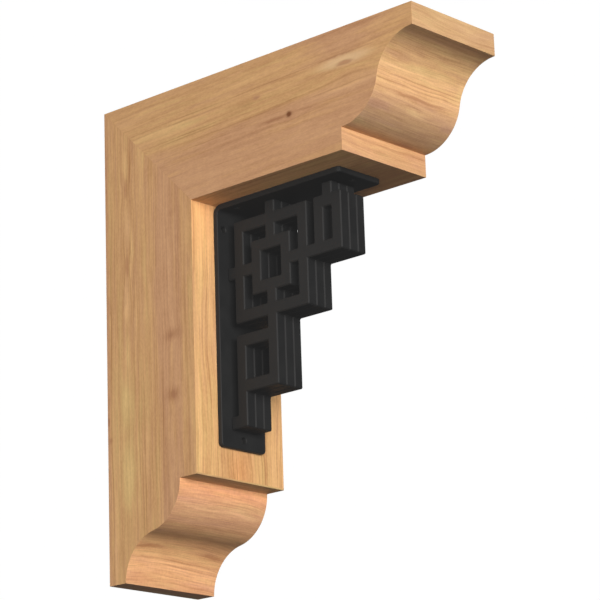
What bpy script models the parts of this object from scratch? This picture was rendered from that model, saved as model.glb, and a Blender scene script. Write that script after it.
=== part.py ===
"""A timber corbel bracket with an iron fretwork insert. Metres, +Z up.

The post's wall face is the plane y = 0, the arm reaches towards -Y and the width runs along X.
The origin is the middle of the wall face, where the bracket is fixed. Outlines are drawn in the
side plane as (out, down): out from the wall face, down from the top face.
"""

import math

import bmesh
import bpy
from mathutils import Matrix, Vector

INCH = 0.0254

# Timber members
TIMBER = 5.5 * INCH             # side of the square timber, dressed from a nominal six by six
PROJECTION = 0.4735             # wall face to the nose of the arm
HEIGHT = 0.5600                 # top face to the bottom tip of the post
FILLET = 0.026                  # square fillets that start and end the carved profile
CURVE_LENGTH = 0.1050           # length of the carved double curve along the member
CURVE_DEPTH = TIMBER - 2 * FILLET
ARC_STEPS = 20                  # straight steps in each of the two arcs
JOINT_GAP = 0.0003              # clearance between pieces that touch

# Mounting plate, one strip bent round the inner corner
PLATE_WIDTH = 0.070
PLATE_THICKNESS = 0.25 * INCH
PLATE_DROP = 0.4200             # lower end of the upright leg, down from the top face
PLATE_REACH = 0.3320            # outer end of the level leg, out from the wall face
BEND_RADIUS = 0.011             # outside of the bend, next to the timber
BEND_STEPS = 8
CORNER_RADIUS = 0.005           # rounded corners at the two ends of the strip
CORNER_STEPS = 4
HOLE_DIAMETER = 0.0075          # screw holes
HOLE_SIDES = 24
END_HOLE_INSET = 0.011          # single hole, in from each end of the strip
PAIR_HOLE_INSET = 0.028         # pair of holes, in from the bend on each leg
PAIR_HOLE_SPACING = 0.050
PLATE_EDGE = 0.0008             # chamfer on the plate's edges

# Fretwork plates, three alike, side by side
FRET_THICKNESS = 0.013
FRET_COUNT = 3
FRET_EDGE = 0.0012              # chamfer that makes the lines between the three plates
BAR = 0.0145                    # width of every bar of the fretwork
CELL_OUT = 0.0340               # openings of the square frame, along the arm
CELL_DOWN = 0.0380              # and down the post
FRAME_OUT = 0.1567              # near edge of the frame, out from the wall face
FRAME_DOWN = 0.1605             # top edge of the frame, down from the top face
RING_TRIM = 0.004               # how much smaller the centre opening is than a cell
END_GAP = 0.0104                # gap between the frame and the outer ring
END_SLIT = 0.012                # width of the outer ring's opening
LOWER_SLOT = 0.0136             # slot between the frame and the lower ring
FOOT_GAP = 0.0247               # gap between the lower ring and the foot tab

IRON = {"colour": (0.030, 0.030, 0.031), "roughness": 0.55, "metallic": 0.35}
CEDAR_POST = {"colour": (0.52, 0.30, 0.15), "roughness": 0.58, "metallic": 0.0}
CEDAR_ARM = {"colour": (0.56, 0.33, 0.17), "roughness": 0.58, "metallic": 0.0}


def clear_scene():
    for thing in list(bpy.data.objects):
        bpy.data.objects.remove(thing, do_unlink=True)


def make_material(name, look):
    material = bpy.data.materials.new(name)
    material.use_nodes = True
    shader = material.node_tree.nodes["Principled BSDF"]
    shader.inputs["Base Color"].default_value = (*look["colour"], 1.0)
    shader.inputs["Roughness"].default_value = look["roughness"]
    shader.inputs["Metallic"].default_value = look["metallic"]
    material.diffuse_color = (*look["colour"], 1.0)
    return material


def side_point(out, down, across=0.0):
    """World place of a point of the side plane."""
    return Vector((across, -out, HEIGHT / 2 - down))


def add_object(name, form, look):
    """Turn a bmesh into a named object with its own material, shaded smooth up to 35 degrees."""
    bmesh.ops.recalc_face_normals(form, faces=form.faces)
    mesh = bpy.data.meshes.new(name)
    form.to_mesh(mesh)
    form.free()
    mesh.shade_smooth()
    mesh.set_sharp_from_angle(angle=math.radians(35))
    mesh.materials.append(make_material(name, look))
    thing = bpy.data.objects.new(name, mesh)
    bpy.context.collection.objects.link(thing)
    return thing


def add_chamfer(thing, width):
    chamfer = thing.modifiers.new("edges", "BEVEL")
    chamfer.width = width
    chamfer.segments = 1
    chamfer.limit_method = "ANGLE"
    chamfer.angle_limit = math.radians(50)


def prism(outline, width):
    """Solid with an outline of the side plane, centred across the width."""
    form = bmesh.new()
    rim = [form.verts.new(side_point(out, down, -width / 2)) for out, down in outline]
    face = form.faces.new(rim)
    swept = bmesh.ops.extrude_face_region(form, geom=[face])["geom"]
    moved = [item for item in swept if isinstance(item, bmesh.types.BMVert)]
    bmesh.ops.translate(form, verts=moved, vec=(width, 0, 0))
    return form


def arc(centre, radius, start, end, steps):
    """Points along an arc, with both ends, for angles in radians."""
    angles = [start + (end - start) * step / steps for step in range(steps + 1)]
    return [(centre[0] + radius * math.cos(a), centre[1] + radius * math.sin(a)) for a in angles]


def carved_end():
    """Outline of a member's end as (along, deep), from its tip and from its outer face.

    A fillet is followed by a hollow arc and an equal round arc. Both leave along the member and
    they meet half way, so their shared turn follows from the curve's length and depth.
    """
    turn = 2 * math.atan2(CURVE_DEPTH, CURVE_LENGTH)
    radius = CURVE_LENGTH / 2 / math.sin(turn)
    quarter = math.pi / 2
    hollow = arc((0.0, FILLET + radius), radius, -quarter, turn - quarter, ARC_STEPS)
    round_centre = (CURVE_LENGTH, TIMBER - FILLET - radius)
    swell = arc(round_centre, radius, quarter + turn, quarter, ARC_STEPS)
    return [(0.0, 0.0)] + hollow + swell[1:] + [(CURVE_LENGTH, TIMBER)]


def member_outline(length):
    """Carved end and the 45 degree mitre of a member, as (along, deep)."""
    mitre = length - JOINT_GAP / 2 * math.sqrt(2)
    return carved_end() + [(mitre - TIMBER, TIMBER), (mitre, 0.0)]


def add_arm():
    outline = [(PROJECTION - along, deep) for along, deep in member_outline(PROJECTION)]
    return add_object("arm", prism(outline, TIMBER), CEDAR_ARM)


def add_post():
    outline = [(deep, HEIGHT - along) for along, deep in member_outline(HEIGHT)]
    return add_object("post", prism(outline, TIMBER), CEDAR_POST)


def plate_outline():
    """Side outline of the bent strip, from its lower end up round the bend to its outer end."""
    back = TIMBER + JOINT_GAP
    face = back + PLATE_THICKNESS
    centre = (back + BEND_RADIUS, back + BEND_RADIUS)
    inner_radius = BEND_RADIUS - PLATE_THICKNESS
    outside = arc(centre, BEND_RADIUS, -math.pi, -math.pi / 2, BEND_STEPS)
    inside = arc(centre, inner_radius, -math.pi / 2, -math.pi, BEND_STEPS)
    lower_end = [(face, PLATE_DROP), (back, PLATE_DROP)]
    outer_end = [(PLATE_REACH, back), (PLATE_REACH, face)]
    return lower_end + outside + outer_end + inside


def round_strip_corners(form):
    """Round the four corners at the strip's two ends."""
    ends = (side_point(TIMBER, PLATE_DROP).z, side_point(PLATE_REACH, TIMBER).y)
    corners = []
    for edge in form.edges:
        a, b = (vert.co for vert in edge.verts)
        on_side = abs(a.x - b.x) < 1e-6
        on_lower_end = abs(a.z - ends[0]) < 1e-6 and abs(b.z - ends[0]) < 1e-6
        on_outer_end = abs(a.y - ends[1]) < 1e-6 and abs(b.y - ends[1]) < 1e-6
        if on_side and (on_lower_end or on_outer_end):
            corners.append(edge)
    bmesh.ops.bevel(form, geom=corners, offset=CORNER_RADIUS, offset_type="OFFSET",
                    segments=CORNER_STEPS, profile=0.5, affect="EDGES")


def hole_places():
    """Middle of each screw hole and the leg that it is on: across, out, down, upright."""
    middle = TIMBER + JOINT_GAP + PLATE_THICKNESS / 2
    pair = TIMBER + PAIR_HOLE_INSET
    places = [(0.0, middle, PLATE_DROP - END_HOLE_INSET, True),
              (0.0, PLATE_REACH - END_HOLE_INSET, middle, False)]
    for side in (-1, 1):
        across = side * PAIR_HOLE_SPACING / 2
        places.append((across, middle, pair, True))
        places.append((across, pair, middle, False))
    return places


def add_hole_cutter():
    """All the screw holes as one cutter of round pegs, hidden from the render."""
    form = bmesh.new()
    for across, out, down, upright in hole_places():
        turn = Matrix.Rotation(math.pi / 2, 4, "X") if upright else Matrix.Identity(4)
        place = Matrix.Translation(side_point(out, down, across)) @ turn
        bmesh.ops.create_cone(form, cap_ends=True, segments=HOLE_SIDES,
                              radius1=HOLE_DIAMETER / 2, radius2=HOLE_DIAMETER / 2,
                              depth=PLATE_THICKNESS * 3, matrix=place)
    cutter = add_object("hole_cutter", form, IRON)
    cutter.hide_render = True
    cutter.display_type = "WIRE"
    return cutter


def add_mounting_plate():
    form = prism(plate_outline(), PLATE_WIDTH)
    round_strip_corners(form)
    plate = add_object("mounting_plate", form, IRON)
    holes = plate.modifiers.new("screw_holes", "BOOLEAN")
    holes.operation = "DIFFERENCE"
    holes.object = add_hole_cutter()
    add_chamfer(plate, PLATE_EDGE)
    return plate


def ring(out, down, opening_out, opening_down):
    """Four bars round an opening, as (near, far, top, bottom), from the ring's near top corner."""
    far = out + opening_out + 2 * BAR
    bottom = down + opening_down + 2 * BAR
    return [(out, out + BAR, down, bottom),
            (far - BAR, far, down, bottom),
            (out, far, down, down + BAR),
            (out, far, bottom - BAR, bottom)]


def fret_bars():
    """Every bar of a fretwork plate, as (near, far, top, bottom), and the centre opening."""
    plate_face = TIMBER + 2 * JOINT_GAP + PLATE_THICKNESS
    far = FRAME_OUT + 3 * BAR + 2 * CELL_OUT
    bottom = FRAME_DOWN + 3 * BAR + 2 * CELL_DOWN
    cross_out = FRAME_OUT + BAR + CELL_OUT
    cross_down = FRAME_DOWN + BAR + CELL_DOWN

    frame = ring(FRAME_OUT, FRAME_DOWN, 2 * CELL_OUT + BAR, 2 * CELL_DOWN + BAR)
    upright = (cross_out, cross_out + BAR, plate_face, bottom)
    end_near = far + END_GAP
    end_far = end_near + END_SLIT + 2 * BAR
    level = (plate_face, end_far, cross_down, cross_down + BAR)

    opening_out = CELL_OUT - RING_TRIM
    opening_down = CELL_DOWN - RING_TRIM
    middle_out = cross_out + BAR / 2
    middle_down = cross_down + BAR / 2
    opening = (middle_out - opening_out / 2, middle_out + opening_out / 2,
               middle_down - opening_down / 2, middle_down + opening_down / 2)
    centre = ring(opening[0] - BAR, opening[2] - BAR, opening_out, opening_down)

    outer = ring(end_near, FRAME_DOWN, END_SLIT, CELL_DOWN)
    tab_near = (end_near + end_far - BAR) / 2
    outer_tab = (tab_near, tab_near + BAR, plate_face, FRAME_DOWN + BAR)

    lower_top = bottom + LOWER_SLOT
    lower = ring(FRAME_OUT, lower_top, CELL_OUT, CELL_DOWN)
    lower_bottom = lower_top + 2 * BAR + CELL_DOWN
    neck = (cross_out, cross_out + BAR, bottom - BAR, lower_top + BAR)
    foot = lower_bottom + FOOT_GAP
    leg = (FRAME_OUT, FRAME_OUT + BAR, lower_bottom - BAR, foot + BAR)
    foot_tab = (plate_face, FRAME_OUT + BAR, foot, foot + BAR)

    bars = frame + centre + outer + lower
    return bars + [upright, level, outer_tab, neck, leg, foot_tab], opening


def inside(box, out, down):
    return box[0] < out < box[1] and box[2] < down < box[3]


def add_fretwork(name, across):
    """One fretwork plate, centred at across, made of the grid cells that its bars cover."""
    bars, opening = fret_bars()
    outs = sorted({round(value, 7) for bar in bars + [opening] for value in bar[:2]})
    downs = sorted({round(value, 7) for bar in bars + [opening] for value in bar[2:]})
    form = bmesh.new()
    corners = {}

    def corner(column, row):
        if (column, row) not in corners:
            place = side_point(outs[column], downs[row], across - FRET_THICKNESS / 2)
            corners[column, row] = form.verts.new(place)
        return corners[column, row]

    for column in range(len(outs) - 1):
        for row in range(len(downs) - 1):
            out = (outs[column] + outs[column + 1]) / 2
            down = (downs[row] + downs[row + 1]) / 2
            covered = any(inside(bar, out, down) for bar in bars)
            if covered and not inside(opening, out, down):
                form.faces.new([corner(column, row), corner(column + 1, row),
                                corner(column + 1, row + 1), corner(column, row + 1)])
    swept = bmesh.ops.extrude_face_region(form, geom=list(form.faces))["geom"]
    moved = [item for item in swept if isinstance(item, bmesh.types.BMVert)]
    bmesh.ops.translate(form, verts=moved, vec=(FRET_THICKNESS, 0, 0))
    fretwork = add_object(name, form, IRON)
    add_chamfer(fretwork, FRET_EDGE)
    return fretwork


def add_fretwork_plates():
    pitch = FRET_THICKNESS + JOINT_GAP
    names = ("lattice_left", "lattice_middle", "lattice_right")
    for place in range(FRET_COUNT):
        add_fretwork(names[place], (place - (FRET_COUNT - 1) / 2) * pitch)


def main():
    clear_scene()
    add_arm()
    add_post()
    add_mounting_plate()
    add_fretwork_plates()


main()
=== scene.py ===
"""Looks of the corbel bracket: cedar timber, black iron fretwork, studio light and camera.

Metres, in the part's frame: the wall face is y = 0, the arm reaches towards -Y and z = 0 is half
way up the post. Inside a timber, along runs with its length and deep is measured from its outer
face, which is the top of the arm and the wall face of the post.
"""

import math
from types import SimpleNamespace

import bmesh
import bpy
from mathutils import Matrix, Vector


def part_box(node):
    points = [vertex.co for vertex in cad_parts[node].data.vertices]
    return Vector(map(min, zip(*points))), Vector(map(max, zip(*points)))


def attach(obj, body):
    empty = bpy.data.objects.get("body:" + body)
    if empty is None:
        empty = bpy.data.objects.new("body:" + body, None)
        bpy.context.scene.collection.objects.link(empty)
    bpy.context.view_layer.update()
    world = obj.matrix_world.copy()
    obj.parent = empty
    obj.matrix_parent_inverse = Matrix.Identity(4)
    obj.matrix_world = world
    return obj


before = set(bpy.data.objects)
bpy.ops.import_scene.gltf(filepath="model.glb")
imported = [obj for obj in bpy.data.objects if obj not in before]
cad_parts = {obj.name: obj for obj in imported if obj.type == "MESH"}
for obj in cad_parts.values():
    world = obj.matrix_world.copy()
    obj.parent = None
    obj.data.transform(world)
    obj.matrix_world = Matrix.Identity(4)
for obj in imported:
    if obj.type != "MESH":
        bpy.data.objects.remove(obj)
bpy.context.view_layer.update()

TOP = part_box("arm")[1].z
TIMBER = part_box("arm")[1].x * 2
PROJECTION = -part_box("arm")[0].y
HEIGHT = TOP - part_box("post")[0].z
CARVED_LENGTH = 0.106           # from a tip to just past the end of the carved profile
FILLET = 0.026                  # square fillets before and after the carved profile
WOOD_EDGE = 0.0005              # eased edges of the timber
SHARP_ANGLE = math.radians(40)  # edges of the timber that turn more than this are eased
WELD = 1e-5                     # vertices nearer than this are joined before the edges are eased
MITRE_NEAR = 0.001              # edges nearer to the mitre's plane than this stay sharp
GLUE_HALF = 0.000092            # half the glue line's thickness, measured along each member
GLUE_INSET = 0.0001             # how far the glue stays below the faces
# The pilot holes are not cut: each is a dark disc of painted shade on the wood
HOLE_RADIUS = 0.0058            # pilot holes in the wood behind the mounting plate
END_HOLE_INSET = 0.011          # single hole, in from each end of the plate
PAIR_HOLE_INSET = 0.028         # pair of holes, in from the inner corner on each leg
PAIR_HOLE_SPACING = 0.050

# Camera, from the straight edges of the photograph
CAMERA_PLACE = Vector((-2.1364, -2.1760, -0.8187))
CAMERA_AZIMUTH = -47.775        # degrees, 0 looks along +Y
CAMERA_ELEVATION = -16.109
CAMERA_ROLL = -1.867
CAMERA_LENS = 162.6             # mm, on a 36 mm sensor
CAMERA_REACH = 60.0             # far enough for the backdrop

# Studio, as (distance, azimuth, elevation, width, height, power)
KEY_LIGHT = (8.0, -24.7, 2.5, 5.4, 2.4, 655.0)
FILL_LIGHT = (4.0, -47.8, -16.0, 2.0, 1.6, 78.0)
TOP_LIGHT = (2.6, 160.0, 68.0, 1.4, 1.4, 75.0)
BACK_LIGHT = (3.0, 130.0, 28.0, 1.4, 1.0, 80.0)
RIM_LIGHT = (3.0, -132.0, 18.0, 2.4, 1.8, 14.0)
AMBIENT = 0.060
BLACK_LIFT = 0.012              # the photograph's deepest shade isn't quite black
FLOOR_DROP = 1.35               # floor below the middle of the bracket
FLOOR_SIZE = 9.0
FLOOR_GREY = (0.80, 0.80, 0.80)
DOME_RADIUS = 12.0
BLACK = (0.0, 0.0, 0.0)
WHITE = (1.0, 1.0, 1.0)


class Graph:
    """Node tree of one material, with short calls for the nodes it uses."""

    def __init__(self, name):
        self.material = bpy.data.materials.new(name)
        self.material.use_nodes = True
        self.tree = self.material.node_tree
        self.shader = self.tree.nodes["Principled BSDF"]

    def node(self, kind, **settings):
        made = self.tree.nodes.new(kind)
        for key, value in settings.items():
            setattr(made, key, value)
        return made

    def feed(self, socket, value):
        if isinstance(value, bpy.types.NodeSocket):
            self.tree.links.new(value, socket)
        else:
            socket.default_value = value

    def math(self, operation, first, second=0.0, third=None):
        made = self.node("ShaderNodeMath", operation=operation)
        self.feed(made.inputs[0], first)
        self.feed(made.inputs[1], second)
        if third is not None:
            self.feed(made.inputs[2], third)
        return made.outputs[0]

    def add(self, *values):
        total = values[0]
        for value in values[1:]:
            total = self.math("ADD", total, value)
        return total

    def times(self, first, second):
        return self.math("MULTIPLY", first, second)

    def place(self, *values):
        made = self.node("ShaderNodeCombineXYZ")
        for socket, value in zip(made.inputs, values):
            self.feed(socket, value)
        return made.outputs[0]

    def noise(self, place, detail=2.0, roughness=0.5):
        """Noise of a place already in noise units, around 0.5."""
        made = self.node("ShaderNodeTexNoise")
        self.feed(made.inputs["Vector"], place)
        made.inputs["Scale"].default_value = 1.0
        made.inputs["Detail"].default_value = detail
        made.inputs["Roughness"].default_value = roughness
        return made.outputs["Fac"]

    def waves(self, parts, rates, seeds=(0.0, 0.0, 0.0), **settings):
        """Noise of a place whose parts are each times a rate per metre, then shifted by a seed."""
        values = []
        for part, rate, seed in zip(parts, rates, seeds):
            values.append(self.add(self.times(part, rate), seed))
        return self.noise(self.place(*values), **settings)

    def spread(self, value, low, high, to_low=0.0, to_high=1.0, smooth=True):
        """Value rescaled from low..high to to_low..to_high and held there."""
        made = self.node("ShaderNodeMapRange", clamp=True)
        made.interpolation_type = "SMOOTHSTEP" if smooth else "LINEAR"
        self.feed(made.inputs["Value"], value)
        made.inputs["From Min"].default_value = low
        made.inputs["From Max"].default_value = high
        made.inputs["To Min"].default_value = to_low
        made.inputs["To Max"].default_value = to_high
        return made.outputs["Result"]

    def mix(self, factor, first, second, blend="MIX"):
        made = self.node("ShaderNodeMix", data_type="RGBA", blend_type=blend)
        self.feed(made.inputs[0], factor)
        for socket, colour in ((made.inputs[6], first), (made.inputs[7], second)):
            self.feed(socket, colour if isinstance(colour, bpy.types.NodeSocket) else (*colour, 1.0))
        return made.outputs[2]

    def ramp(self, value, stops):
        """Colour read from a row of (place, colour) stops, the places in 0..1."""
        made = self.node("ShaderNodeValToRGB")
        self.feed(made.inputs[0], value)
        elements = made.color_ramp.elements
        while len(elements) < len(stops):
            elements.new(1.0)
        for element, (place, colour) in zip(elements, stops):
            element.position = place
            element.color = (*colour, 1.0)
        return made.outputs[0]

    def either(self, factor, first, second):
        """Number that is first where the factor is 0 and second where it is 1."""
        return self.add(first, self.times(factor, self.math("SUBTRACT", second, first)))

    def bump(self, height, distance, strength):
        made = self.node("ShaderNodeBump")
        made.inputs["Strength"].default_value = strength
        made.inputs["Distance"].default_value = distance
        self.feed(made.inputs["Height"], height)
        return made.outputs[0]

    def hill(self, spot, middle, size):
        """Soft round hill over a flat place, 1 at its middle, with its two half lengths."""
        off = self.node("ShaderNodeVectorMath", operation="MULTIPLY_ADD")
        self.feed(off.inputs[0], spot)
        off.inputs[1].default_value = (1.0 / size[0], 1.0 / size[1], 0.0)
        off.inputs[2].default_value = (-middle[0] / size[0], -middle[1] / size[1], 0.0)
        square = self.node("ShaderNodeVectorMath", operation="DOT_PRODUCT")
        self.feed(square.inputs[0], off.outputs[0])
        self.feed(square.inputs[1], off.outputs[0])
        return self.math("POWER", 1.0 / math.e, square.outputs["Value"])


# Colours of the cedar, linear
GOLD = (0.630, 0.342, 0.139)
ROSE = (0.578, 0.300, 0.143)
PALE = (0.630, 0.388, 0.148)
WARM = (0.755, 0.364, 0.138)
KNOT = (0.195, 0.058, 0.012)
EYE = (0.790, 0.545, 0.310)
CORE = (0.390, 0.150, 0.060)
# Painted shade: colour of the dark disc that stands for the inside of each pilot hole
PILOT_HOLE_SHADE = (0.020, 0.019, 0.018)

# What the grain multiplies the colour by, where it is darkest and where it is lightest
DARK_TONE = (0.72, 0.62, 0.56)
LIGHT_TONE = (1.28, 1.38, 1.44)
MEAN_GRAIN = 0.54

# Soft steps between the faces, in metres, and in parts of the normal that point at a face
FACE_STEP = 0.001
HALVES_STEP = 0.01
FACING_STEP = (0.90, 0.98)
SIDE_STEP = (0.4, 0.6)

# Rates of the wood's noises, per metre, and how far the waves swing the layers, in metres
SLOW_WAVE = (3.2, 7.0, 9.0)          # along, deep, across
SLOW_SWING = 0.010
QUICK_WAVE = (14.0, 45.0, 30.0)      # along, deep, across
QUICK_SWING = 0.0036
SLOPE_PIVOT = 0.25                   # along, where a timber's slope leaves its layers in place
CUT_WAVE = (22.0, 9.0, 0.0)          # cut, across
CUT_SWING = 0.007
FLAT_SLANT = 0.85                    # on the flat faces, layers crossed per metre of width
FLAT_SLOW_SWING = 0.014
FLAT_QUICK_SWING = 0.0030
RING_BEND = (90.0, 0.8, 0.0)         # layer, along
RING_BEND_SWING = 2.2                # in rings
RING_BOLDNESS = (120.0, 5.0, 12.0)   # layer, along, across
MOTTLE = (60.0, 150.0, 60.0)         # along, layer, across
FIBRES = (260.0, 700.0, 420.0)       # along, deep, across
HUE_DRIFT = (85.0, 6.0, 9.0)         # layer, along, across

# Late wood: how steeply a ring darkens, where in it the dark line ends, and how boldness is spread
RING_SHARPNESS = 4.0
RING_END = 0.90
BOLDNESS_RANGE = (0.35, 0.65, 0.1, 1.0)

# How the drawn lines fade where a streak is light, as (dark, light, strength dark, strength light)
DRAWN_FADE = (-0.08, 0.05, 1.0, 0.4)
CUT_DRAWN_FADE = (-0.08, 0.05, 1.0, 0.6)

# Strengths and soft steps in the wood's grain, hue, marks and shine
FLAT_BOOST = 0.7                     # how much bolder the grain is on the flat faces
CUT_BOOST = 1.3
MOTTLE_STRENGTH = 0.30
FIBRE_STRENGTH = 0.40
HUE_STRENGTH = 3.6
MARK_WANDER = 0.004                  # how far the edges of marks and knots wander, in metres
KNOT_RIM = (0.10, 0.85)              # height of a knot's hill where its colour starts and is full
HOLE_SOFTNESS = 0.02
GRAIN_ROUGHNESS_STEP = (0.2, 0.8)
WOOD_ROUGHNESS = (0.62, 0.52)        # of the dark and of the light grain
WOOD_SPECULAR = 0.25
GRAIN_RELIEF = 0.00016               # depth of the grain's fine relief, in metres
GRAIN_RELIEF_STRENGTH = 0.5
LATE_WOOD_RELIEF = -0.4

# Colours of the iron, linear, and the rates of its noises, per metre
IRON_DARK = (0.0080, 0.0081, 0.0082)
IRON_LIGHT = (0.0110, 0.0110, 0.0109)
# Painted light: the paler, browner colour of faces that point along X
IRON_SIDE_PAINTED_LIGHT = (0.0160, 0.0152, 0.0145)
IRON_WORN = (0.040, 0.040, 0.040)
PEEL_RATE = 900.0
GRIT_RATE = 3200.0
CLOUD_RATE = 28.0

# Soft steps of the iron's colour and shine, each from where it starts to where it is full
CLOUD_STEP = (0.35, 0.65)
CLOUD_ROUGHNESS_STEP = (0.3, 0.7)
WORN_STEP = (0.62, 0.80)
WORN_STRENGTH = 0.30
# Where the painted light on the faces that point along X starts and is full
SIDE_PAINTED_LIGHT_STEP = (0.4, 0.8)          # in parts of the normal that point sideways

# The iron's relief and shine
PEEL_RELIEF = 0.00012                # depth of the coat's orange peel, in metres
PEEL_RELIEF_STRENGTH = 0.45
PEEL_SHARE = 0.7                     # of the relief, and grit makes the rest
IRON_ROUGHNESS = (0.56, 0.66)
IRON_SPECULAR = 0.16

# Each timber's figure, in metres along the grain, deep from the outer face and across the width. On
# the carved end, cut is the distance from the tip's outer edge measured straight along the profile.
# The seed shifts the noises. The slope is how far the layers sink per metre along, and ring is the
# spacing of the late wood. The pink band starts, is full, fades and ends at four depths of layer.
# The tilt and the bow bend the layers on the carved end, whose ground colours are stops of (part of
# the cut's length, colour). These stops hold painted light and shade as well as the wood's colour:
# lighter and darker bands that follow how the light falls along the profile.
# A streak is (width across the layers, length along the grain, strength).
# A swirl is a place where the grain bulges round a hidden knot, as (along, deep, half length, half
# depth, bulge).
# A line is one dark layer seen on the sides, as (deep, half thickness, along, half length, strength),
# and on the carved end as (cut, half thickness, across, half width, strength).
# A mark is a soft patch, as (along, deep, half length, half depth, tone, pinkness) on the sides,
# (cut, across, half cut, half across, tone, pinkness) on the carved end and (along, across, half
# length, half across, tone, warmth) on the inner face. On the arm, whose inner face is its underside,
# that mark is painted shade, and the post's last mark on its carved end is painted light just under
# the ledge. A knot is (along, deep, half length, half depth, strength, colour), and rings is the
# strength of the thin lines of late wood.
ARM = {
    "seed": 3.1,
    "slope": 0.035,
    "ring": 0.0068,
    "rings": 0.22,
    "streaks": [(0.0300, 0.400, 0.48), (0.0110, 0.170, 0.38), (0.0038, 0.090, 0.36),
                (0.0014, 0.028, 0.26)],
    "pink_band": (0.058, 0.078, 0.150, 0.160),
    "swirls": [(0.376, 0.050, 0.040, 0.010, 0.005), (0.293, 0.0795, 0.016, 0.007, -0.004)],
    "lines": [(0.0240, 0.0007, 0.060, 0.050, 0.42), (0.0335, 0.0007, 0.130, 0.080, 0.46),
              (0.0385, 0.0012, 0.140, 0.060, 0.62), (0.0345, 0.0006, 0.280, 0.080, 0.40),
              (0.0560, 0.0006, 0.130, 0.060, 0.38), (0.0590, 0.0007, 0.160, 0.070, 0.42),
              (0.0660, 0.0007, 0.200, 0.090, 0.50), (0.0640, 0.0007, 0.340, 0.090, 0.50),
              (0.0705, 0.0005, 0.360, 0.060, 0.34), (0.0745, 0.0006, 0.140, 0.070, 0.46),
              (0.0830, 0.0005, 0.370, 0.050, 0.28)],
    "marks": [(0.370, 0.0315, 0.0450, 0.0012, -0.34, 0.1), (0.376, 0.0392, 0.0420, 0.0056, 0.32, -0.3),
              (0.380, 0.0478, 0.0400, 0.0016, -0.24, 0.2), (0.268, 0.0797, 0.0220, 0.0020, -0.72, 0.3),
              (0.314, 0.0785, 0.0170, 0.0012, -0.34, 0.2), (0.293, 0.0790, 0.0080, 0.0060, -0.20, 0.6),
              (0.245, 0.0465, 0.0055, 0.0026, -0.10, 1.8), (0.226, 0.0465, 0.0200, 0.0036, -0.16, 0.0),
              (0.105, 0.0500, 0.0700, 0.0070, 0.22, -0.4), (0.330, 0.0040, 0.1000, 0.0060, 0.00, 0.7),
              (0.375, 0.0170, 0.0500, 0.0140, -0.06, 1.5), (0.390, 0.0030, 0.0500, 0.0035, -0.24, 0.6),
              (0.290, 0.0360, 0.0400, 0.0024, -0.30, 0.0), (0.290, 0.0480, 0.0380, 0.0050, 0.20, 0.0),
              (0.170, 0.0730, 0.0700, 0.0060, -0.14, 0.0), (0.375, 0.0695, 0.0500, 0.0030, 0.26, -0.3),
              (0.260, 0.1210, 0.0700, 0.0060, -0.16, 0.0), (0.300, 0.0900, 0.2200, 0.0250, -0.06, 0.0)],
    "knots": [(0.2930, 0.0795, 0.0042, 0.0035, 1.00, KNOT), (0.3765, 0.0392, 0.0420, 0.0066, 0.50, EYE),
              (0.3765, 0.0422, 0.0135, 0.0028, 0.62, CORE)],
    # Painted shade: the arm's underside made darker towards its outer end
    "front_marks_and_painted_shade": [(0.340, 0.0300, 0.0700, 0.0600, -0.50, 0.0)],
    "cut_streaks": [(0.0260, 0.260, 0.34), (0.0075, 0.150, 0.34), (0.0024, 0.090, 0.40),
                    (0.0010, 0.034, 0.58)],
    "cut_tilt": -0.012,
    "cut_bow": 0.20,
    # Painted shade in the hollow under the nose and over the lower part down to the fillet, painted light in
    # the band between
    "cut_colours_and_painted_shading": [(0.00, (0.588, 0.343, 0.163)), (0.09, (0.598, 0.347, 0.163)),
                    (0.12, (0.435, 0.239, 0.103)), (0.19, (0.452, 0.256, 0.112)),
                    (0.30, (0.634, 0.365, 0.163)), (0.36, (0.634, 0.363, 0.158)),
                    (0.40, (0.705, 0.412, 0.187)), (0.48, (0.735, 0.422, 0.194)),
                    (0.52, (0.730, 0.420, 0.196)), (0.66, (0.510, 0.286, 0.138)),
                    (0.80, (0.500, 0.288, 0.142)), (0.86, (0.520, 0.288, 0.128)),
                    (0.885, (0.515, 0.268, 0.112)), (0.90, (0.645, 0.346, 0.156)),
                    (1.00, (0.636, 0.344, 0.166))],
    "cut_lines": [(0.0430, 0.0008, 0.000, 0.060, 0.28), (0.0660, 0.0006, 0.000, 0.100, 0.14),
                  (0.0795, 0.0005, 0.010, 0.080, 0.34), (0.0825, 0.0005, 0.030, 0.070, 0.36),
                  (0.0855, 0.0006, -0.020, 0.090, 0.44), (0.1200, 0.0006, -0.020, 0.030, 0.26),
                  (0.1340, 0.0007, 0.000, 0.050, 0.26), (0.1585, 0.0010, 0.010, 0.120, 0.30),
                  (0.1645, 0.0008, -0.020, 0.060, 0.24), (0.0065, 0.0006, -0.030, 0.050, 0.20),
                  (0.0125, 0.0007, 0.020, 0.060, 0.24)],
    "cut_marks_and_painted_light": [(0.0930, -0.0030, 0.0017, 0.0340, -0.55, 0.3),
                  (0.1005, -0.0020, 0.0010, 0.0160, -0.45, 0.2),
                  (0.1120, -0.0560, 0.0034, 0.0180, -0.22, 2.2), (0.1125, 0.0640, 0.0032, 0.0120, -0.16, 2.2),
                  (0.1070, 0.0050, 0.0042, 0.0140, 0.32, -0.3), (0.1180, -0.0220, 0.0010, 0.0120, -0.24, 0.0),
                  (0.1490, 0.0300, 0.0040, 0.0140, -0.10, 1.2), (0.0600, -0.0500, 0.0050, 0.0260, -0.18, 0.8),
                  (0.0740, 0.0660, 0.0080, 0.0050, 0.00, -0.5), (0.0090, 0.0480, 0.0090, 0.0300, 0.10, 0.0),
                  (0.0950, 0.0450, 0.0040, 0.0220, -0.20, 0.0)],
}
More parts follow.
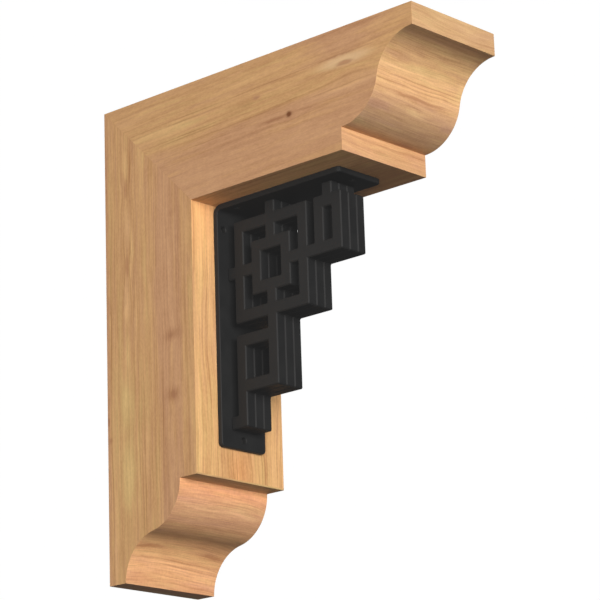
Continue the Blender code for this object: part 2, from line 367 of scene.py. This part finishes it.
POST = {
    "seed": 11.7,
    "slope": 0.0,
    "ring": 0.0046,
    "rings": 0.32,
    "streaks": [(0.0320, 0.600, 0.46), (0.0100, 0.260, 0.44), (0.0036, 0.150, 0.44),
                (0.0015, 0.060, 0.58)],
    "pink_band": (0.078, 0.090, 0.116, 0.126),
    "swirls": [(0.103, 0.0300, 0.016, 0.005, -0.0026), (0.103, 0.0420, 0.016, 0.005, 0.0026),
               (0.195, 0.0300, 0.018, 0.005, -0.0028), (0.195, 0.0420, 0.018, 0.005, 0.0028),
               (0.359, 0.1070, 0.012, 0.010, 0.0030), (0.290, 0.1080, 0.014, 0.012, -0.0030)],
    "lines": [(0.0075, 0.0007, 0.300, 0.300, 0.56), (0.0140, 0.0005, 0.200, 0.120, 0.36),
              (0.0185, 0.0005, 0.320, 0.120, 0.36), (0.0300, 0.0007, 0.190, 0.060, 0.40),
              (0.0420, 0.0007, 0.190, 0.070, 0.46), (0.0480, 0.0005, 0.220, 0.080, 0.40),
              (0.0590, 0.0007, 0.400, 0.110, 0.64), (0.0640, 0.0005, 0.330, 0.100, 0.34),
              (0.0800, 0.0006, 0.240, 0.090, 0.42), (0.0890, 0.0006, 0.380, 0.110, 0.36),
              (0.1180, 0.0006, 0.300, 0.150, 0.40)],
    "marks": [(0.082, 0.0410, 0.0160, 0.0012, -0.50, 0.0), (0.175, 0.0400, 0.0160, 0.0012, -0.45, 0.0),
              (0.070, 0.0330, 0.0160, 0.0036, 0.22, -0.2), (0.150, 0.0370, 0.0200, 0.0044, 0.34, 0.1),
              (0.242, 0.0345, 0.0200, 0.0040, 0.40, -0.2), (0.362, 0.0300, 0.0200, 0.0060, 0.12, -2.0),
              (0.435, 0.0320, 0.0340, 0.0085, 0.38, -2.0), (0.290, 0.1060, 0.0060, 0.0110, -0.44, 0.5),
              (0.359, 0.1060, 0.0070, 0.0095, -0.56, 0.2), (0.148, 0.1060, 0.0045, 0.0045, -0.10, 0.1),
              (0.372, 0.0010, 0.0040, 0.0018, -0.90, 0.5), (0.394, 0.0045, 0.0030, 0.0030, -0.40, 0.5),
              (0.225, 0.0900, 0.0220, 0.0050, -0.12, 1.8), (0.215, 0.1330, 0.0150, 0.0040, 0.00, 0.9),
              (0.300, 0.0340, 0.0180, 0.0036, 0.36, -0.5),
              (0.300, 0.0020, 0.3000, 0.0030, -0.16, 1.4), (0.100, 0.0500, 0.1200, 0.0400, 0.00, 0.35),
              (0.415, 0.0300, 0.0900, 0.0250, 0.04, -0.5), (0.182, 0.0430, 0.0300, 0.0030, 0.34, -0.4),
              (0.345, 0.0310, 0.0350, 0.0080, 0.22, -0.6), (0.260, 0.0480, 0.0400, 0.0024, 0.30, -0.3),
              (0.180, 0.0895, 0.0450, 0.0060, -0.16, 1.2), (0.265, 0.0910, 0.0450, 0.0065, -0.10, 1.0),
              (0.390, 0.0870, 0.0700, 0.0055, -0.28, 0.1), (0.400, 0.0640, 0.0600, 0.0030, 0.26, 0.0),
              (0.180, 0.1170, 0.0400, 0.0040, 0.18, 0.4), (0.260, 0.1270, 0.0400, 0.0060, -0.14, 0.5)],
    "knots": [(0.1020, 0.0350, 0.0130, 0.0038, 0.46, CORE), (0.1940, 0.0350, 0.0130, 0.0038, 0.36, CORE)],
    "front_marks_and_painted_shade": [(0.150, -0.0550, 0.0600, 0.0300, 0.10, 0.8), (0.445, 0.0000, 0.0300, 0.0160, -0.30, 0.7),
                    (0.400, 0.0550, 0.0700, 0.0140, 0.00, -0.2)],
    "cut_streaks": [(0.0260, 0.200, 0.26), (0.0075, 0.110, 0.30), (0.0024, 0.080, 0.40),
                    (0.0010, 0.030, 0.66)],
    "cut_tilt": 0.015,
    "cut_bow": 0.60,
    # Painted shade in the dark band about halfway along, and painted light just under the ledge, where the
    # ledge's shadow falls
    "cut_colours_and_painted_shading": [(0.00, (0.585, 0.315, 0.146)), (0.10, (0.635, 0.314, 0.150)),
                    (0.22, (0.765, 0.397, 0.179)), (0.34, (0.712, 0.370, 0.160)),
                    (0.43, (0.610, 0.318, 0.138)), (0.50, (0.485, 0.254, 0.108)),
                    (0.54, (0.580, 0.306, 0.138)), (0.60, (0.615, 0.314, 0.146)),
                    (0.66, (0.560, 0.284, 0.138)), (0.76, (0.628, 0.320, 0.158)),
                    (0.80, (0.670, 0.330, 0.163)), (0.87, (0.775, 0.364, 0.163)),
                    (0.895, (0.780, 0.380, 0.168)), (0.91, (0.560, 0.330, 0.136)),
                    (1.00, (0.535, 0.328, 0.138))],
    "cut_lines": [(0.0465, 0.0010, 0.000, 0.120, 0.28), (0.0405, 0.0011, 0.000, 0.120, 0.32),
                  (0.0335, 0.0005, 0.000, 0.080, 0.18), (0.0290, 0.0009, 0.010, 0.050, 0.38),
                  (0.0225, 0.0008, 0.000, 0.080, 0.30), (0.1040, 0.0008, 0.000, 0.080, 0.20),
                  (0.0437, 0.0011, 0.000, 0.120, -0.14), (0.0382, 0.0008, 0.000, 0.120, -0.12),
                  (0.0270, 0.0008, 0.010, 0.060, -0.20)],
    "cut_marks_and_painted_light": [(0.0620, -0.0560, 0.0036, 0.0220, -0.60, 0.2), (0.0605, 0.0500, 0.0036, 0.0200, -0.60, 0.2),
                  (0.1275, 0.0000, 0.0012, 0.0500, 0.36, -0.2), (0.1320, 0.0300, 0.0012, 0.0200, 0.32, -0.2),
                  # The last mark is painted light: a lighter strip just under the ledge, where the ledge's
                  # shadow falls
                  (0.1500, 0.0000, 0.0020, 0.0700, 0.10, 0.3)],
}


def wood_places(graph, is_arm):
    """Where the shaded point lies in its timber, and which way its surface faces there."""
    source = graph.node("ShaderNodeTexCoord")
    split = graph.node("ShaderNodeSeparateXYZ")
    graph.feed(split.inputs[0], source.outputs["Object"])
    normal = graph.node("ShaderNodeSeparateXYZ")
    graph.feed(normal.inputs[0], source.outputs["Normal"])
    outward = graph.times(split.outputs[1], -1.0)
    downward = graph.math("SUBTRACT", TOP, split.outputs[2])
    if is_arm:
        along, deep, tip, deep_axis = outward, downward, PROJECTION, 2
    else:
        along, deep, tip, deep_axis = downward, outward, HEIGHT, 1
    return SimpleNamespace(
        along=along,
        deep=deep,
        across=split.outputs[0],
        from_tip=graph.math("SUBTRACT", tip, along),
        normal_across=graph.math("ABSOLUTE", normal.outputs[0]),
        normal_deep=graph.math("ABSOLUTE", normal.outputs[deep_axis]))


def face_masks(graph, at):
    """Masks that are 1 on the faces they name and 0 elsewhere.

    figured is the left side alone, the one with the eyes and the marks. flat is the outer and the
    inner face, and carved is what is left, the carved end with its fillets.
    """
    facing = graph.spread(at.normal_deep, *FACING_STEP)
    beyond_carving = graph.spread(at.from_tip, CARVED_LENGTH, CARVED_LENGTH + FACE_STEP)
    outer_face = graph.spread(at.deep, FACE_STEP * 0.4, FACE_STEP, 1.0, 0.0)
    inner_face = graph.spread(at.deep, TIMBER - 2 * FACE_STEP, TIMBER - FACE_STEP)
    left_half = graph.spread(at.across, -HALVES_STEP, HALVES_STEP, 1.0, 0.0)
    flat = graph.times(facing, graph.math("MAXIMUM", beyond_carving, outer_face))
    side = graph.spread(at.normal_across, *SIDE_STEP)
    not_flat = graph.math("SUBTRACT", 1.0, flat)
    return SimpleNamespace(
        flat=flat,
        side=side,
        figured=graph.times(side, left_half),
        carved=graph.times(not_flat, graph.math("SUBTRACT", 1.0, side)),
        inner=graph.times(flat, inner_face),
        inner_face=inner_face)


def plate_holes(end):
    """Places of the pilot holes behind a leg of the plate, as (along, across)."""
    pair = TIMBER + PAIR_HOLE_INSET
    return [(end - END_HOLE_INSET, 0.0), (pair, -PAIR_HOLE_SPACING / 2), (pair, PAIR_HOLE_SPACING / 2)]


def centred(graph, value, size):
    """Noise brought to swing by about a third of size to either side of 0."""
    return graph.times(graph.math("SUBTRACT", value, 0.5), size)


def growth_layer(graph, look, at, mask):
    """Depth of the growth layer at a point, with its waves and its bulges round hidden knots."""
    place = (at.along, at.deep, at.across)
    seeds = (look["seed"], 0.0, 0.0)
    slow = graph.waves(place, SLOW_WAVE, seeds, detail=1.0)
    quick = graph.waves(place, QUICK_WAVE, seeds)
    layer = graph.add(at.deep, centred(graph, slow, SLOW_SWING), centred(graph, quick, QUICK_SWING))
    past_pivot = graph.math("SUBTRACT", at.along, SLOPE_PIVOT)
    layer = graph.add(layer, graph.times(past_pivot, look["slope"]))
    slant = graph.add(graph.times(at.across, FLAT_SLANT), centred(graph, slow, FLAT_SLOW_SWING),
                      centred(graph, quick, FLAT_QUICK_SWING))
    layer = graph.add(layer, graph.times(mask.flat, slant))
    spot = graph.place(at.along, at.deep, 0.0)
    bulges = 0.0
    for swirl_along, swirl_deep, half_length, half_depth, bulge in look["swirls"]:
        hill = graph.hill(spot, (swirl_along, swirl_deep), (half_length, half_depth))
        bulges = graph.math("MULTIPLY_ADD", hill, bulge, bulges)
    return graph.add(layer, graph.times(bulges, mask.figured))


def cut_layer(graph, look, cut, across):
    """The growth layer that the carved end cuts, bowed and a little tilted across the width."""
    seed = look["seed"]
    wave = graph.waves((cut, across, 0.0), CUT_WAVE, (seed, 0.0, seed))
    bow = graph.times(graph.times(across, across), look["cut_bow"])
    return graph.add(cut, centred(graph, wave, CUT_SWING), graph.times(across, look["cut_tilt"]), bow)


def ring_lines(graph, look, layer, at):
    """Thin dark lines of late wood, 1 where they are boldest."""
    seeds = (0.0, 0.0, look["seed"])
    bend = graph.waves((layer, at.along, 0.0), RING_BEND, seeds)
    phase = graph.add(graph.times(layer, 1.0 / look["ring"]), graph.times(bend, RING_BEND_SWING))
    step = graph.math("FRACT", phase)
    rise = graph.math("POWER", step, RING_SHARPNESS)
    late = graph.times(rise, graph.spread(step, RING_END, 1.0, 1.0, 0.0))
    boldness = graph.waves((layer, at.along, at.across), RING_BOLDNESS, seeds)
    return graph.times(late, graph.spread(boldness, *BOLDNESS_RANGE))


def streaks(graph, layer, along, across, seed, sizes):
    """Streaks along the grain, one stretched noise around 0 for each size."""
    made = []
    for width, length, strength in sizes:
        place = graph.place(graph.times(layer, 1.0 / width), graph.times(along, 1.0 / length),
                            graph.add(graph.times(across, 1.0 / length), seed))
        made.append(centred(graph, graph.noise(place, detail=1.0, roughness=0.6), strength))
    return made


def patches(graph, first, second, marks):
    """Summed tone and summed hue of a list of marks, by the two coordinates that they lie in."""
    spot = graph.place(first, second, 0.0)
    tone = 0.0
    hue = 0.0
    for middle_first, middle_second, half_first, half_second, lift, shift in marks:
        hill = graph.hill(spot, (middle_first, middle_second), (half_first, half_second))
        tone = graph.math("MULTIPLY_ADD", hill, lift, tone)
        hue = graph.math("MULTIPLY_ADD", hill, shift, hue)
    return tone, hue


def dark_lines(graph, spot, lines):
    """Summed darkness of soft lines, each a very flat hill."""
    total = 0.0
    for middle, half_thickness, middle_along, half_length, strength in lines:
        hill = graph.hill(spot, (middle, middle_along), (half_thickness, half_length))
        total = graph.math("MULTIPLY_ADD", hill, -strength, total)
    return total


def side_grain(graph, look, at, mask, layer, lines, long_streaks):
    """Grain of the flat sides and faces: late wood, drawn lines and long streaks."""
    drawn = dark_lines(graph, graph.place(layer, at.along, 0.0), look["lines"])
    drawn = graph.times(drawn, graph.spread(long_streaks[2], *DRAWN_FADE))
    grain = graph.add(graph.times(lines, -look["rings"]), graph.times(drawn, mask.figured),
                      *long_streaks)
    return graph.times(grain, graph.add(1.0, graph.times(mask.flat, FLAT_BOOST)))


def cut_grain(graph, look, bowed, across, short_streaks):
    """Grain of the carved end: drawn lines and short streaks across the width."""
    drawn = dark_lines(graph, graph.place(bowed, across, 0.0), look["cut_lines"])
    drawn = graph.times(drawn, graph.spread(short_streaks[1], *CUT_DRAWN_FADE))
    return graph.times(graph.add(drawn, *short_streaks), CUT_BOOST)


def tinted(graph, colour, pinkness):
    """The colour turned to rose where pinkness is above 0 and to pale where it is below."""
    for tint, way in ((ROSE, 1.0), (PALE, -1.0)):
        shift = [part / plain for part, plain in zip(tint, GOLD)]
        shift = graph.mix(graph.spread(pinkness, 0.0, way, smooth=False), WHITE, shift)
        colour = graph.mix(1.0, colour, shift, blend="MULTIPLY")
    return colour


def with_knots_and_painted_hole_shade(graph, look, holes, at, mask, wander, colour):
    """The colour with the knots of the left side, and painted shade in the pilot holes of the inner face."""
    spot = graph.place(at.along, graph.add(at.deep, wander), 0.0)
    for middle_along, middle_deep, half_length, half_depth, strength, tint in look["knots"]:
        core = graph.hill(spot, (middle_along, middle_deep), (half_length, half_depth))
        core = graph.times(graph.spread(core, *KNOT_RIM, 0.0, strength), mask.figured)
        colour = graph.mix(core, colour, tint)
    # Each pilot hole is a dark disc of painted shade
    for middle in holes:
        hole_shade = graph.hill(graph.place(at.along, at.across, 0.0), middle, (HOLE_RADIUS, HOLE_RADIUS))
        hole_shade = graph.spread(hole_shade, 1.0 / math.e - HOLE_SOFTNESS, 1.0 / math.e + HOLE_SOFTNESS)
        colour = graph.mix(graph.times(hole_shade, mask.inner_face), colour, PILOT_HOLE_SHADE)
    return colour


def wood_material(name, look, holes, is_arm):
    """Cedar whose layers lie parallel to the timber's outer face, with lines along the grain.

    The broad flat faces, which are parallel to the layers, show them at a slant instead, and the
    carved end shows them running across the width. The right side, away from the camera, has the
    plain grain alone, without the eyes and the marks.
    """
    graph = Graph(name)
    seed = look["seed"]
    at = wood_places(graph, is_arm)
    mask = face_masks(graph, at)
    layer = growth_layer(graph, look, at, mask)
    lines = ring_lines(graph, look, layer, at)
    long_streaks = streaks(graph, layer, at.along, at.across, seed, look["streaks"])
    profile_angle = math.atan2(TIMBER - 2 * FILLET, CARVED_LENGTH)
    cut = graph.add(graph.times(at.deep, math.sin(profile_angle)),
                    graph.times(at.from_tip, math.cos(profile_angle)))
    cut_length = TIMBER * math.sin(profile_angle) + CARVED_LENGTH * math.cos(profile_angle)
    bowed = cut_layer(graph, look, cut, at.across)
    short_streaks = streaks(graph, bowed, at.across, at.along, seed, look["cut_streaks"])

    mottle = graph.waves((at.along, layer, at.across), MOTTLE, (0.0, 0.0, seed))
    fibres = graph.waves((at.along, at.deep, at.across), FIBRES, detail=1.0)
    hue = graph.waves((graph.either(mask.carved, layer, bowed), at.along, at.across), HUE_DRIFT,
                      (0.0, 0.0, seed * 2.0), detail=3.0, roughness=0.8)
    wander = centred(graph, mottle, MARK_WANDER)
    side_tone, side_hue = patches(graph, at.along, graph.add(at.deep, wander), look["marks"])
    # The post's carved-end marks end with a strip of painted light just under the ledge
    cut_tone_and_painted_light, cut_hue = patches(graph, graph.add(bowed, wander), at.across, look["cut_marks_and_painted_light"])
    # On the arm, the inner face's mark is painted shade over its underside
    front_tone_and_painted_shade, warmth = patches(graph, at.along, at.across, look["front_marks_and_painted_shade"])

    grain = graph.either(mask.carved, side_grain(graph, look, at, mask, layer, lines, long_streaks),
                         cut_grain(graph, look, bowed, at.across, short_streaks))
    grain = graph.add(grain, centred(graph, mottle, MOTTLE_STRENGTH),
                      centred(graph, fibres, FIBRE_STRENGTH))
    grain = graph.add(MEAN_GRAIN, grain, graph.times(mask.figured, side_tone),
                      graph.times(mask.carved, cut_tone_and_painted_light), graph.times(mask.inner, front_tone_and_painted_shade))
    rise, risen, fall, fallen = look["pink_band"]
    band = graph.times(graph.spread(layer, rise, risen), graph.spread(layer, fall, fallen, 1.0, 0.0))
    pinkness = graph.add(graph.times(band, mask.side), graph.times(side_hue, mask.figured),
                         graph.times(mask.carved, cut_hue), centred(graph, hue, HUE_STRENGTH))

    # Ground colour of the carved end, with its painted light and shade along the profile
    end_colour_and_painted_shading = graph.ramp(graph.times(cut, 1.0 / cut_length), look["cut_colours_and_painted_shading"])
    colour = graph.mix(mask.carved, GOLD, end_colour_and_painted_shading)
    warmth = graph.spread(warmth, 0.0, 1.0, smooth=False)
    colour = graph.mix(graph.times(warmth, mask.inner), colour, WARM)
    colour = tinted(graph, colour, pinkness)
    tone = graph.mix(graph.spread(grain, 0.0, 1.0, smooth=False), DARK_TONE, LIGHT_TONE)
    colour = graph.mix(1.0, colour, tone, blend="MULTIPLY")
    colour = with_knots_and_painted_hole_shade(graph, look, holes, at, mask, wander, colour)
    graph.feed(graph.shader.inputs["Base Color"], colour)

    roughness = graph.spread(grain, *GRAIN_ROUGHNESS_STEP, *WOOD_ROUGHNESS)
    graph.feed(graph.shader.inputs["Roughness"], roughness)
    relief = graph.either(mask.carved, graph.add(long_streaks[2], long_streaks[3]),
                          graph.add(short_streaks[2], short_streaks[3]))
    relief = graph.add(relief, graph.times(lines, LATE_WOOD_RELIEF))
    relief = graph.bump(relief, GRAIN_RELIEF, GRAIN_RELIEF_STRENGTH)
    graph.feed(graph.shader.inputs["Normal"], relief)
    graph.shader.inputs["Specular IOR Level"].default_value = WOOD_SPECULAR
    return graph.material


def iron_material(name, seed):
    """Satin black coat over iron: faint orange peel, slight unevenness and paler worn spots.

    Painted light: faces that point along X, which on the fretwork are the plates' flat sides, are
    paler and browner than the rest, standing in for the stronger light and the wood's warm reflection
    on them.
    """
    graph = Graph(name)
    coordinates = graph.node("ShaderNodeTexCoord")
    source = coordinates.outputs["Object"]
    normal = graph.node("ShaderNodeSeparateXYZ")
    graph.feed(normal.inputs[0], coordinates.outputs["Normal"])
    side_painted_light = graph.spread(graph.math("ABSOLUTE", normal.outputs[0]), *SIDE_PAINTED_LIGHT_STEP)

    def scaled(scale):
        made = graph.node("ShaderNodeVectorMath", operation="MULTIPLY_ADD")
        graph.feed(made.inputs[0], source)
        made.inputs[1].default_value = (scale, scale, scale)
        made.inputs[2].default_value = (seed, seed * 2.0, seed * 3.0)
        return made.outputs[0]

    peel = graph.noise(scaled(PEEL_RATE), detail=2.0)
    grit = graph.noise(scaled(GRIT_RATE), detail=1.0)
    cloud = graph.noise(scaled(CLOUD_RATE), detail=3.0)
    colour = graph.mix(graph.spread(cloud, *CLOUD_STEP), IRON_DARK, IRON_LIGHT)
    # Painted light: faces that point along X made paler and browner
    colour = graph.mix(side_painted_light, colour, IRON_SIDE_PAINTED_LIGHT)
    colour = graph.mix(graph.spread(grit, *WORN_STEP, 0.0, WORN_STRENGTH), colour, IRON_WORN)
    graph.feed(graph.shader.inputs["Base Color"], colour)
    roughness = graph.spread(cloud, *CLOUD_ROUGHNESS_STEP, *IRON_ROUGHNESS)
    graph.feed(graph.shader.inputs["Roughness"], roughness)
    height = graph.add(graph.times(peel, PEEL_SHARE), graph.times(grit, 1.0 - PEEL_SHARE))
    relief = graph.bump(height, PEEL_RELIEF, PEEL_RELIEF_STRENGTH)
    graph.feed(graph.shader.inputs["Normal"], relief)
    graph.shader.inputs["Specular IOR Level"].default_value = IRON_SPECULAR
    return graph.material


def edges_to_ease():
    """Geometry nodes that give the timber's sharp edges a bevel weight, except at the mitre.

    The triangles are joined first, so that they have edges in common. On the mitre the way out
    from the wall face equals the way down from the top face.
    """
    tree = bpy.data.node_groups.new("edges_to_ease", "GeometryNodeTree")
    for way in ("INPUT", "OUTPUT"):
        tree.interface.new_socket("Geometry", in_out=way, socket_type="NodeSocketGeometry")

    def linked(kind, sockets, **settings):
        made = tree.nodes.new(kind)
        for key, value in settings.items():
            setattr(made, key, value)
        for name, value in sockets.items():
            if isinstance(value, bpy.types.NodeSocket):
                tree.links.new(value, made.inputs[name])
            else:
                made.inputs[name].default_value = value
        return made

    start = tree.nodes.new("NodeGroupInput")
    joined = linked("GeometryNodeMergeByDistance",
                    {"Geometry": start.outputs[0], "Distance": WELD})
    plain = linked("GeometryNodeRemoveAttribute",
                   {"Geometry": joined.outputs[0], "Name": "custom_normal"})
    ends = tree.nodes.new("GeometryNodeInputMeshEdgeVertices")
    angle = tree.nodes.new("GeometryNodeInputMeshEdgeAngle")
    gaps = []
    for place in ("Position 1", "Position 2"):
        dot = linked("ShaderNodeVectorMath", {0: ends.outputs[place], 1: (0, 1, -1)},
                     operation="DOT_PRODUCT")
        gap = linked("ShaderNodeMath", {0: dot.outputs["Value"], 1: TOP}, operation="ADD")
        gaps.append(linked("ShaderNodeMath", {0: gap.outputs[0]}, operation="ABSOLUTE").outputs[0])
    gap = linked("ShaderNodeMath", {0: gaps[0], 1: gaps[1]}, operation="ADD")
    off_mitre = linked("ShaderNodeMath", {0: gap.outputs[0], 1: MITRE_NEAR},
                       operation="GREATER_THAN")
    sharp = linked("ShaderNodeMath", {0: angle.outputs["Unsigned Angle"], 1: SHARP_ANGLE},
                   operation="GREATER_THAN")
    weight = linked("ShaderNodeMath", {0: off_mitre.outputs[0], 1: sharp.outputs[0]},
                    operation="MULTIPLY")
    stored = linked("GeometryNodeStoreNamedAttribute",
                    {"Geometry": plain.outputs[0], "Name": "bevel_weight_edge",
                     "Value": weight.outputs[0]}, data_type="FLOAT", domain="EDGE")
    smooth = linked("GeometryNodeSetShadeSmooth", {"Geometry": stored.outputs[0]}, domain="FACE")
    creased = linked("GeometryNodeSetShadeSmooth",
                     {"Geometry": smooth.outputs[0], "Selection": sharp.outputs[0],
                      "Shade Smooth": False}, domain="EDGE")
    linked("NodeGroupOutput", {0: creased.outputs[0]})
    return tree


def dress(node, material):
    """Give a CAD node its material."""
    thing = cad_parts[node]
    thing.data.materials.clear()
    thing.data.materials.append(material)
    return thing


def dress_timber(node, material, weights):
    """Give a timber its material, and ease its edges."""
    thing = dress(node, material)
    marked = thing.modifiers.new("marked_edges", "NODES")
    marked.node_group = weights
    bevel = thing.modifiers.new("eased_edges", "BEVEL")
    bevel.width = WOOD_EDGE
    bevel.segments = 2
    bevel.limit_method = "WEIGHT"
    bevel.harden_normals = True


def add_glue_line(material):
    """The line of glue that fills the mitre, coloured by the timber's own dust."""
    near = GLUE_INSET
    far = TIMBER - GLUE_INSET
    half_width = TIMBER / 2 - GLUE_INSET
    form = bmesh.new()
    bmesh.ops.create_cube(form, size=2.0)
    for vert in form.verts:
        step = GLUE_HALF * vert.co.z
        reach = near if vert.co.y < 0 else far
        vert.co = Vector((half_width * vert.co.x, -(reach + step), TOP - (reach - step)))
    bmesh.ops.recalc_face_normals(form, faces=form.faces)
    mesh = bpy.data.meshes.new("mitre_glue")
    form.to_mesh(mesh)
    form.free()
    mesh.materials.append(material)
    glue = bpy.data.objects.new("mitre_glue", mesh)
    bpy.context.collection.objects.link(glue)
    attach(glue, "root")


def direction(azimuth, elevation):
    """Unit vector from the bracket towards a viewer or a lamp."""
    a = math.radians(azimuth)
    e = math.radians(elevation)
    return Vector((math.sin(a) * math.cos(e), -math.cos(a) * math.cos(e), math.sin(e)))


def add_camera():
    back = direction(CAMERA_AZIMUTH, CAMERA_ELEVATION)
    right = (-back).cross(Vector((0, 0, 1))).normalized()
    up = right.cross(-back)
    roll = math.radians(CAMERA_ROLL)
    turned_right = math.cos(roll) * right + math.sin(roll) * up
    turned_up = math.cos(roll) * up - math.sin(roll) * right
    data = bpy.data.cameras.new("camera")
    data.lens = CAMERA_LENS
    data.clip_end = CAMERA_REACH
    camera = bpy.data.objects.new("camera", data)
    facing = Matrix((turned_right, turned_up, back)).transposed().to_4x4()
    camera.matrix_world = Matrix.Translation(CAMERA_PLACE) @ facing
    bpy.context.collection.objects.link(camera)
    bpy.context.scene.camera = camera


def add_softbox(name, distance, azimuth, elevation, width, height, power):
    data = bpy.data.lights.new(name, "AREA")
    data.shape = "RECTANGLE"
    data.size = width
    data.size_y = height
    data.energy = power
    lamp = bpy.data.objects.new(name, data)
    aim = direction(azimuth, elevation)
    lamp.location = aim * distance
    lamp.rotation_mode = "QUATERNION"
    lamp.rotation_quaternion = (-aim).to_track_quat("-Z", "Y")
    bpy.context.collection.objects.link(lamp)


def flat_material(name, colour, glow=BLACK):
    """Matt colour, with an even glow of its own where one is given."""
    graph = Graph(name)
    graph.shader.inputs["Base Color"].default_value = (*colour, 1.0)
    graph.shader.inputs["Roughness"].default_value = 0.9
    graph.shader.inputs["Emission Color"].default_value = (*glow, 1.0)
    graph.shader.inputs["Emission Strength"].default_value = 0.0 if glow == BLACK else 1.0
    return graph.material


def add_studio():
    """Pale floor, a white dome that only the camera sees, the softboxes and a low ambient."""
    bpy.ops.mesh.primitive_plane_add(size=FLOOR_SIZE, location=(0, 0, -FLOOR_DROP))
    floor = bpy.context.object
    floor.name = "floor"
    floor.data.materials.append(flat_material("floor_pale", FLOOR_GREY))
    bpy.ops.mesh.primitive_uv_sphere_add(radius=DOME_RADIUS)
    dome = bpy.context.object
    dome.name = "backdrop"
    dome.data.materials.append(flat_material("backdrop_white", BLACK, glow=WHITE))
    for sight in ("visible_diffuse", "visible_glossy", "visible_transmission"):
        setattr(dome, sight, False)
        setattr(floor, sight, False)
    dome.visible_shadow = False
    add_softbox("key_light", *KEY_LIGHT)
    add_softbox("fill_light", *FILL_LIGHT)
    add_softbox("top_light", *TOP_LIGHT)
    add_softbox("back_light", *BACK_LIGHT)
    add_softbox("rim_light", *RIM_LIGHT)
    world = bpy.data.worlds.new("studio")
    bpy.context.scene.world = world
    world.use_nodes = True
    sky = world.node_tree.nodes["Background"]
    sky.inputs["Color"].default_value = (*WHITE, 1.0)
    sky.inputs["Strength"].default_value = AMBIENT
    view = bpy.context.scene.view_settings
    view.view_transform = "Standard"
    view.use_curve_mapping = True
    view.curve_mapping.black_level = (-BLACK_LIFT, -BLACK_LIFT, -BLACK_LIFT)


add_camera()
add_studio()
plate_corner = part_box("mounting_plate")[0]
cedar_arm = wood_material("cedar_arm", ARM, plate_holes(-plate_corner.y), is_arm=True)
cedar_post = wood_material("cedar_post", POST, plate_holes(TOP - plate_corner.z), is_arm=False)
sharp_edges = edges_to_ease()
dress_timber("arm", cedar_arm, sharp_edges)
dress_timber("post", cedar_post, sharp_edges)
add_glue_line(cedar_post)
dress("mounting_plate", iron_material("iron_plate", 1.0))
for number, side in enumerate(("left", "middle", "right")):
    dress("lattice_" + side, iron_material("iron_lattice_" + side, 2.0 + number))
